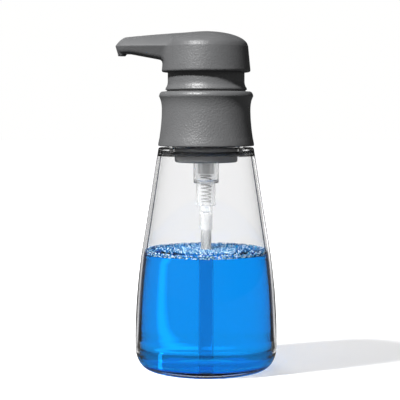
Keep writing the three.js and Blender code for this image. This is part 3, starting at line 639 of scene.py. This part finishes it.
def make_collar():
    """The waisted ring: up its outside, over the rounded edge, and down the mouth and the threaded bore."""
    low, high = span("collar")
    waist_r, (top_r, top_z) = COLLAR_WAIST[0], COLLAR_TOP
    mouth = [
        (22, high), (COLLAR_MOUTH_R, high, 0.4), (COLLAR_MOUTH_R, COLLAR_LID_Z, 0.3),
        (COLLAR_BORE_R, COLLAR_LID_Z, 0.3), (COLLAR_BORE_R, 150.4),
    ]
    outline = [
        *rounded([(23.6, low), (COLLAR_FOOT_R, low, 0.5), (26.4, low + 1.5)], closed=False),
        *bend((COLLAR_FOOT_R, low), (waist_r, 134.5), COLLAR_WAIST, 16)[2:],
        *bend(COLLAR_WAIST, (waist_r, 147.6), COLLAR_TOP, 12),
        *quarter((top_r - COLLAR_EDGE_R, top_z), (COLLAR_EDGE_R, high - top_z), 10, 90, 10),
        (23.5, high),
        *rounded(mouth, closed=False),
        *[(COLLAR_BORE_R, z) for z in np.arange(150, 124.6, -0.5)],
        (COLLAR_BORE_R, 124.2),
        (23.2, low + 0.1),
    ]
    vertices, faces = turned(outline, 160, thread(*COLLAR_THREAD, COLLAR_BORE_R, -THREAD_H))
    return piece("screw_collar", vertices, faces, "collar", [GREY], ["collar"])


def make_sleeve():
    """The tube over the neck: its spigot in the collar's mouth, the lip, the flare up to the plain side,
    then the deck on top with the guide for the stem, and the inside back down to the spigot."""
    low, high = SLEEVE_LIP_Z, span("neck_sleeve")[1]
    ceiling = high - SLEEVE_DECK
    spigot = [
        (17.7, 153), (17.7, 151.3, 0.2), (19.2, 151.3, 0.2), (19.2, 153.2, 0.1), (21.7, 153.2, 0.1),
        (21.7, low), (22, low),
    ]
    lip = [(21, low), (SLEEVE_LIP_R, low, 0.45), (SLEEVE_LIP_R, 155.2)]
    deck = [
        (SLEEVE_R, 163), (SLEEVE_R, high, 0.6), (6.4, high, 0.3), (6.4, GUIDE_Z, 0.3), (7.9, GUIDE_Z, 0.3),
        (7.9, 160),
    ]
    inside = [
        (7.9, 161), (7.9, ceiling, 0.6), (19.3, ceiling, 0.6), (19.3, 157.2, 0.4), (17.7, 155.6, 0.4),
    ]
    outline = [
        *rounded(spigot, closed=False)[:-1],
        *rounded(lip, closed=False)[1:-1],
        *bend((SLEEVE_LIP_R, 154.7), (SLEEVE_R, 156.1), (SLEEVE_R, 158.6), 12),
        *[(SLEEVE_R, z) for z in (160, 162)],
        *rounded(deck, closed=False),
        *rounded(inside, closed=False),
    ]
    vertices, faces = turned(outline, 160)
    return piece("neck_sleeve_skin", vertices, faces, "pump_insert", [GREY], ["neck_sleeve"])


def lathe(name, node, body, surface, corners, sides=96):
    """A turned piece from (radius, height, fillet) corners that stands for one CAD node."""
    vertices, faces = turned(rounded(corners), sides)
    return piece(name, vertices, faces, body, [surface], [node])


make_collar()
make_sleeve()
lathe(
    "well_cup", "pump_well", "pump_insert", WELL_GREY,
    [
        (7.25, 114, 0.2), (17.4, 114, 1.2), (17.4, 121.3, 0.2), (16.6, 121.3, 0.1), (16.6, 124.1, 0.1),
        (17.4, 124.1, 0.2), (17.4, 149.6, 0.4), (20.8, 149.6, 0.3), (20.8, 151, 0.3), (15.9, 151, 0.3),
        (15.9, 116, 0.6), (12.5, 116, 0.4), (12.5, 124, 0.2), (11, 124, 0.2), (11, 116, 0.3),
        (7.25, 116, 0.2),
    ],
    128,
)
lathe(
    "well_seal_ring", "well_seal", "pump_insert", RUBBER,
    [(16.9, 121.6, 0.2), (18.0, 121.6, 0.8), (18.0, 123.8, 0.8), (16.9, 123.8, 0.2)],
    128,
)
lathe(
    "rim_gasket_ring", "rim_gasket", "pump_insert", RUBBER,
    [(18.6, 148.3, 0.2), (20.4, 148.3, 0.2), (20.4, 149.3, 0.2), (18.6, 149.3, 0.2)],
    128,
)


# ---------------------------------------------------------------- pump

housing = lathe(
    "clear_housing", "pump_housing", "pump_insert", CLEAR_PLASTIC,
    [
        (3.05, 76.7, 0.1), (3.53, 76.7, 0.15), (3.53, 90.1, 0.3), (5.3, 90.1, 0.6), (5.3, 102.5, 0.3),
        (6.95, 102.5, 0.9), (6.95, 117.6, 0.3), (10.5, 117.6, 0.2), (10.5, 119.2, 0.2), (5.75, 119.2, 0.3),
        (5.75, 104.3, 0.3), (4.6, 103.3, 0.3), (4.6, 91.2, 0.2), (1.6, 91.2, 0.2), (1.6, 90.7, 0.1),
        (2.3, 90.7, 0.1), (2.3, 87, 0.2), (1.3, 86, 0.2), (1.3, 85.2, 0.2), (3.05, 85.2, 0.1),
    ],
)
housing.visible_shadow = False


def make_dip_tube():
    """The tube, with a second material where it stands in the soap."""
    low, high = span("dip_tube")
    surface = SOAP_Z - SURFACE_DROP
    outside, (wet_bore, dry_bore) = DIP_TUBE_R, DIP_TUBE_BORE_R
    corners = [
        (wet_bore, low, 0.1), (outside, low, 0.15), (outside, 30), (outside, surface),
        (outside, surface + 0.1), (outside, high, 0.15), (dry_bore, high, 0.1), (dry_bore, surface + 0.1),
        (wet_bore, surface), (wet_bore, 30),
    ]
    vertices, faces = turned(rounded(corners), 64)
    surfaces = [TUBE, WET_TUBE]
    made = piece("dip_tube_skin", vertices, faces, "pump_insert", surfaces, ["dip_tube"])
    for face in made.data.polygons:
        face.material_index = int(face.center.z < surface * MM)


make_dip_tube()
lathe(
    "housing_gasket_ring", "housing_gasket", "pump_insert", RUBBER,
    [(7.25, 116.3, 0.15), (10.5, 116.3, 0.2), (10.5, 117.3, 0.2), (7.25, 117.3, 0.15)],
)
lathe(
    "housing_cap_ring", "housing_cap", "pump_insert", MILKY,
    [
        (4.15, 119.5, 0.2), (10.7, 119.5, 0.3), (10.7, 124.3, 0.2), (13.5, 124.3, 0.3), (13.5, 127, 0.7),
        (4.15, 127, 0.4),
    ],
)
lathe(
    "plunger_stem", "piston_stem", "plunger", MILKY,
    [
        (1.6, 107.6, 0.2), (4.3, 107.6, 0.5), (4.3, 114.2, 0.3), (3, 114.2, 0.15), (3, 119, 0.2),
        (2.3, 119, 0.15), (2.3, 126, 0.3), (1.6, 126, 0.15),
    ],
)
lathe(
    "plunger_seal", "piston_seal", "plunger", RUBBER,
    [
        (3.3, 114.5, 0.2), (4.1, 114.5, 0.2), (4.1, 115.9, 0.2), (4.65, 115.9, 0.2), (5.05, 114.5, 0.1),
        (5.45, 114.5, 0.1), (5.15, 118.7, 0.3), (3.3, 118.7, 0.2),
    ],
)
lathe(
    "stem_tube", "stem", "pump_head", MILKY,
    [
        (2.6, 119.6, 0.1), (3.85, 119.6, 0.3), (3.85, 171, 0.3), (2.9, 171, 0.2), (2.9, 163.9, 0.3),
        (1.6, 162.6, 0.2), (1.6, 126.4, 0.1), (2.6, 126.4, 0.1),
    ],
)


def make_spring():
    """A tapered coil with closed ends."""
    low, high = SPRING_Z[0] + WIRE_R, SPRING_Z[1] - WIRE_R
    turns, closed = 7.0, 0.9
    t = np.linspace(0, 1, 640)
    angle = t * 2 * math.pi * (turns + 2 * closed)
    along = np.clip((t * (turns + 2 * closed) - closed) / turns, 0, 1)
    pitch_at_end = 0.62
    z = low + pitch_at_end * np.clip(t * (turns + 2 * closed), 0, closed) / closed
    z = z + (high - low - 2 * pitch_at_end) * along
    z = z + pitch_at_end * np.clip((t * (turns + 2 * closed) - closed - turns) / closed, 0, 1)
    r = 2.45 + 0.55 * t
    path = np.stack([r * np.cos(angle), r * np.sin(angle), z], axis=1)
    vertices, faces = sweep(path, WIRE_R, 12)
    made = piece("return_spring", vertices, faces, "pump_insert", [STEEL], ["spring"])
    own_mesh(made)
    return made


make_spring()


# ---------------------------------------------------------------- head

SIDE_R = (24.45, 23.05)  # the skirt's radius at its lower edge and at the crease
CAP_R = 22.85  # the dome stands in from the side by a narrow ledge
CAP_H = 8.1
CROWN_Z = 185.7  # the spout's top, if it ran on to the axis
ROOT_R = 14.25  # the spout's radius in plan, if its sides ran on to the axis
SPOUT_DRAFT = 0.34  # how far the spout's sides lean in for each millimetre down
TIP_X = -43.55  # middle of the round tip
TIP_R = 6.3
SPOUT_WALL = 1.5
NOZZLE_X = -46.1
LIP_R = (2.2, 2.5)  # the drip lip's radius at its lower and upper end
LIP_Z = (172, 174)
HOLLOW_WALL = 1.6  # the skirt's thickness
CEILING = (15, 182.4)  # radius and height of the flat part of the cap's ceiling
SPOUT_GREY_X = -19  # the spout's own finish starts here


def cone(r, z, low, high):
    """Distance outside a slightly tapered side, given by its radius at two heights."""
    slope = (high[0] - low[0]) / (high[1] - low[1])
    return (r - (low[0] + slope * (z - low[1]))) / math.hypot(1, slope)


def spout_plan(x, y, inset):
    """Distance in plan outside the spout, a capsule that narrows from the axis to the round tip, and the
    radius of the circle that fits in it there."""
    root_r, tip_r, length = ROOT_R - inset, TIP_R - inset, -TIP_X
    slope = (ROOT_R - TIP_R) / length
    flat = math.sqrt(1 - slope * slope)
    along = -slope * np.abs(y) - flat * x
    side = flat * np.abs(y) - slope * x - root_r
    nose = np.hypot(x - TIP_X, y) - tip_r
    away = np.where(along < 0, np.hypot(x, y) - root_r, np.where(along > flat * length, nose, side))
    return away, root_r - slope * np.clip(-x, 0, length)


def head_skin(x, y, z):
    """The head's outside: a domed cap with a slightly tapered skirt, and the spout that grows out of it."""
    run = np.hypot(x, y)
    side = cone(run, z, (SIDE_R[0], HEAD_Z), (SIDE_R[1], CREASE_Z))
    below = np.clip((CREASE_Z + 0.15 - z) / 0.4, 0, 1) * 2
    cap = smooth_max(side, dome(run, CAP_R, z - CREASE_Z, CAP_H, 2.0) - below, 0.25)
    plan, fit = spout_plan(x, y, SPOUT_DRAFT * np.clip(178 - z, 0, 10))
    rise = CROWN_Z + 0.04299 * x - 0.000674 * x * x - CREASE_Z
    across = np.clip((plan + fit) / fit, 0, 1.5)
    over = (z - CREASE_Z - rise * (1 - across**2)) / np.hypot(1, 2 * rise * across / fit)
    spout = smooth_max(plan, over - below, 0.3)
    under = np.minimum(170.9 - (x + 28) * 0.1818, 173.3) - z
    spout = smooth_max(spout, under, 2.5)
    blend = 2.6 - 2.0 * np.clip((z - 174) / 10, 0, 1)
    skin = smooth_min(cap, spout, blend)
    lip = cone(np.hypot(x - NOZZLE_X, y), z, (LIP_R[0], LIP_Z[0]), (LIP_R[1], LIP_Z[1]))
    lip = smooth_max(smooth_max(lip, LIP_Z[0] - z, 0.5), z - 176, 0.3)
    return smooth_max(smooth_min(skin, lip, 0.8), HEAD_Z - z, 1.2)


def head_hollow(x, y, z, skin):
    """The hollow under the cap, the channel along the spout and the hole for the nozzle."""
    run = np.hypot(x, y)
    low_r, high_r = SIDE_R[0] - HOLLOW_WALL, SIDE_R[1] - HOLLOW_WALL
    side = cone(run, z, (low_r, HEAD_Z), (high_r, CREASE_Z))
    ceiling = cone(run, z, (high_r, CREASE_Z), CEILING)
    cap = smooth_max(smooth_max(side, ceiling, 1), z - CEILING[1], 1)
    plan, _ = spout_plan(x, y, SPOUT_WALL + SPOUT_DRAFT * np.clip(178 - z, 0, 10))
    floor = np.interp(x, (-41.2, -28, 0), (175.1, 172.8, 174)) - z
    roof = z - np.interp(x, (-49.85, TIP_X, -20), (178.4, 180.2, 182))
    channel = np.maximum(smooth_max(smooth_max(plan, floor, 0.8), roof, 0.8), skin + 1.3)
    hole = np.maximum(np.hypot(x - NOZZLE_X, y) - 1.8, z - 177)
    return np.minimum(smooth_min(cap, channel, 0.8), hole)


def head_field(x, y, z):
    skin = head_skin(x, y, z)
    return smooth_max(skin, -head_hollow(x, y, z, skin), 0.35)


def make_head():
    vertices, faces = net(head_field, (-51.5, -25.5, 162.5), (25.5, 25.5, 187), 0.55)
    surfaces = [CAP_GREY, SPOUT_GREY]
    made = piece("head_skin", vertices, faces, "pump_head", surfaces, ["head_shell"])
    for face in made.data.polygons:
        face.material_index = int(face.center.x < SPOUT_GREY_X * MM)
    return made


def make_nozzle():
    corners = [
        (1.0, 172.3, 0.15), (1.5, 172.3, 0.2), (1.5, 175.4, 0.1), (1.9, 175.4, 0.1), (1.9, 176.2, 0.1),
        (1.0, 176.2, 0.1),
    ]
    vertices, faces = turned(rounded(corners), 48)
    vertices = vertices + (NOZZLE_X, 0, 0)
    return piece("spout_nozzle", vertices, faces, "pump_head", [RUBBER], ["nozzle"])


def make_ball(name, node, surface):
    low, high = span(node)
    radius, middle = (high - low) / 2, (high + low) / 2
    outline = [(0, low), *quarter((0, middle), (radius, radius), -84, 84, 28), (0, high)]
    vertices, faces = turned(outline, 48)
    return piece(name, vertices, faces, node, [surface], [node])


make_head()
make_nozzle()
make_ball("inlet_valve_ball", "inlet_ball", BALL_GLASS)
make_ball("outlet_valve_ball", "outlet_ball", STEEL)
for node in ("head_core", "spout_tube"):
    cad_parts[node].material_slots[0].material = MILKY


# ---------------------------------------------------------------- studio

THROUGH_GLASS = 1.03  # brightness of the white studio seen through glass
FLOOR_GLOW = 0.5  # what the floor shows in the shadow, before the lamps light it
DARK = 0.03  # brightness of what the soap and the pump mirror inside the bottle
FLOOR_HALF = 6.0  # metres from the middle of the floor to its side
STRIP_WAY = (0.866, -0.5, 0)  # across the bright strip on the floor, which is seen only through the glass
STRIP_OFFSET = 0.034
UP_LEFT = (-0.85, -0.45, 0.15)  # where the dim studio is brightest
AIM = Vector((0, 0, 0.09))  # the lamps point here, at the middle of the object
CAMERA = (-3.37, -635, 139.2)  # where the camera stands, in millimetres
CAMERA_TIP = 4.15  # degrees below level


def choose(tree, factor, a, b):
    """Number a turned into number b by a factor."""
    node = add(tree, "Mix", data_type="FLOAT")
    for number, value in ((0, factor), (2, a), (3, b)):
        if isinstance(value, bpy.types.NodeSocket):
            tree.links.new(value, node.inputs[number])
        else:
            node.inputs[number].default_value = value
    return node.outputs[0]


def math_node(tree, operation, a, b):
    return add(tree, "Math", {0: a, 1: b}, operation=operation).outputs[0]


def glow(tree, back, eye, through, rest, dark):
    """How bright the studio is for a ray: the camera's rays get one value, those through glass another, and
    the rest a third. What the soap and the pump reflect inside the bottle is dark, as soap that wets the
    glass reflects nothing, and so is what the wall reflects from anywhere but the back."""
    path = add(tree, "LightPath").outputs
    depth = path["Transmission Depth"]
    bounced = math_node(tree, "GREATER_THAN", path["Glossy Depth"], 0.5)
    inside = add(tree, "Math", {0: depth, 1: 3.5, 2: 1.0}, operation="COMPARE").outputs[0]
    in_wall = math_node(tree, "LESS_THAN", depth, 2.5)
    in_wall = math_node(tree, "MULTIPLY", in_wall, ranged(tree, back, 0.72, 0.62, 0, 1))
    lost = math_node(tree, "MULTIPLY", bounced, math_node(tree, "MAXIMUM", inside, in_wall))
    through = choose(tree, lost, through, dark)
    return choose(tree, path["Is Camera Ray"], choose(tree, path["Is Transmission Ray"], rest, through), eye)


def make_floor():
    """A plain pale floor. Rays that come through the glass find it brighter along a strip behind."""
    mesh = bpy.data.meshes.new("floor")
    corners = [(x * FLOOR_HALF, y * FLOOR_HALF, 0) for x, y in ((-1, -1), (1, -1), (1, 1), (-1, 1))]
    mesh.from_pydata(corners, [], [(0, 1, 2, 3)])
    made = bpy.data.objects.new("floor", mesh)
    made.location.z = -0.2 * MM
    bpy.context.scene.collection.objects.link(made)

    def build(tree):
        place = add(tree, "TexCoord").outputs["Object"]
        away = add(tree, "VectorMath", {0: place}, operation="LENGTH").outputs["Value"]
        back = math_node(tree, "DIVIDE", add(tree, "SeparateXYZ", {0: place}).outputs["Y"], away)
        side_on = add(tree, "VectorMath", {0: place, 1: STRIP_WAY}, operation="DOT_PRODUCT").outputs["Value"]
        off_strip = math_node(tree, "DIVIDE", math_node(tree, "ADD", side_on, STRIP_OFFSET), away)
        off_strip = math_node(tree, "ABSOLUTE", off_strip, 0.0)
        strip = ranged(tree, off_strip, 0.07, 0.02, 0, 0.7)
        strip = math_node(tree, "MULTIPLY", strip, ranged(tree, back, 0.4, 0.5, 0, 1))
        through = math_node(tree, "ADD", THROUGH_GLASS, strip)
        eye = ranged(tree, away, 0.16, 0.45, FLOOR_GLOW, 1.02)
        strength = glow(tree, back, eye, through, 0.13, DARK)
        light = add(tree, "Emission", {"Color": (0.985, 0.985, 1, 1), "Strength": strength})
        grain = noise(tree, 30, 2)
        paper = add(tree, "BsdfDiffuse", {"Color": ramp(tree, grain, [(0.3, 0.54), (0.7, 0.56)])})
        none = add(tree, "BsdfDiffuse", {"Color": (0, 0, 0, 1)})
        seen = add(tree, "LightPath").outputs["Is Camera Ray"]
        lit = add(tree, "MixShader", {0: seen, 1: none.outputs[0], 2: paper.outputs[0]})
        return add(tree, "AddShader", {0: lit.outputs[0], 1: light.outputs[0]})

    mesh.materials.append(material("floor_paper", build))
    return made


def make_world():
    """White behind the object, and a dim studio, brighter up and to the left, that lights it."""
    world = bpy.data.worlds.new("studio")
    bpy.context.scene.world = world
    world.use_nodes = True
    tree = world.node_tree
    tree.nodes.clear()
    way = add(tree, "TexCoord").outputs["Generated"]
    up_left = add(tree, "VectorMath", {0: way, 1: UP_LEFT}, operation="DOT_PRODUCT").outputs["Value"]
    dim = ranged(tree, up_left, -0.5, 1, 0.04, 0.17)
    back = add(tree, "SeparateXYZ", {0: way}).outputs["Y"]
    strength = glow(tree, back, 1.0, THROUGH_GLASS, dim, DARK)
    light = add(tree, "Background", {"Color": (1, 1, 0.995, 1), "Strength": strength})
    add(tree, "OutputWorld", {"Surface": light.outputs[0]})


def lamp(name, azimuth, elevation, away, size, watts, through_glass=False, gloss=True):
    """An area light. Azimuth 0 is on the camera's side, and a negative one is to its left."""
    a, e = math.radians(azimuth), math.radians(elevation)
    data = bpy.data.lights.new(name, "AREA")
    data.shape = "RECTANGLE"
    data.size, data.size_y = size
    data.energy = watts
    made = bpy.data.objects.new(name, data)
    bpy.context.scene.collection.objects.link(made)
    made.location = AIM + away * Vector((math.sin(a) * math.cos(e), -math.cos(a) * math.cos(e), math.sin(e)))
    made.rotation_euler = (AIM - made.location).to_track_quat("-Z", "Y").to_euler()
    made.visible_transmission = through_glass
    made.visible_glossy = gloss
    return made


def lights_only(light, other, state):
    """Keeps a light to one object, or off it."""
    lit = bpy.data.collections.new(light.name + "_lights")
    lit.objects.link(other)
    lit.collection_objects[0].light_linking.link_state = state
    light.light_linking.receiver_collection = lit


def make_camera():
    """A long lens at the collar's height, tipped slightly down."""
    data = bpy.data.cameras.new("camera")
    data.lens = 103.5
    data.sensor_width = 36
    made = bpy.data.objects.new("camera", data)
    made.location = [c * MM for c in CAMERA]
    made.rotation_euler = (math.radians(90 - CAMERA_TIP), 0, 0)
    bpy.context.scene.collection.objects.link(made)
    bpy.context.scene.camera = made


floor = make_floor()
make_world()
make_camera()
key = lamp("key", -33, 45, 1.4, (0.16, 0.16), 42)
floor_key = lamp("floor_key", -65, 30, 1.6, (0.16, 0.16), 75, gloss=False)
lamp("stripe", 155, 2, 0.8, (0.045, 0.6), 0.17, through_glass=True, gloss=False)
lamp("back_fill", -160, 35, 1.6, (0.8, 0.8), 16, gloss=False)
lamp("right_fill", 65, 22, 1.6, (0.8, 0.8), 2.0, gloss=False)
lights_only(key, floor, "EXCLUDE")
lights_only(floor_key, floor, "INCLUDE")
bpy.context.scene.view_settings.view_transform = "Standard"
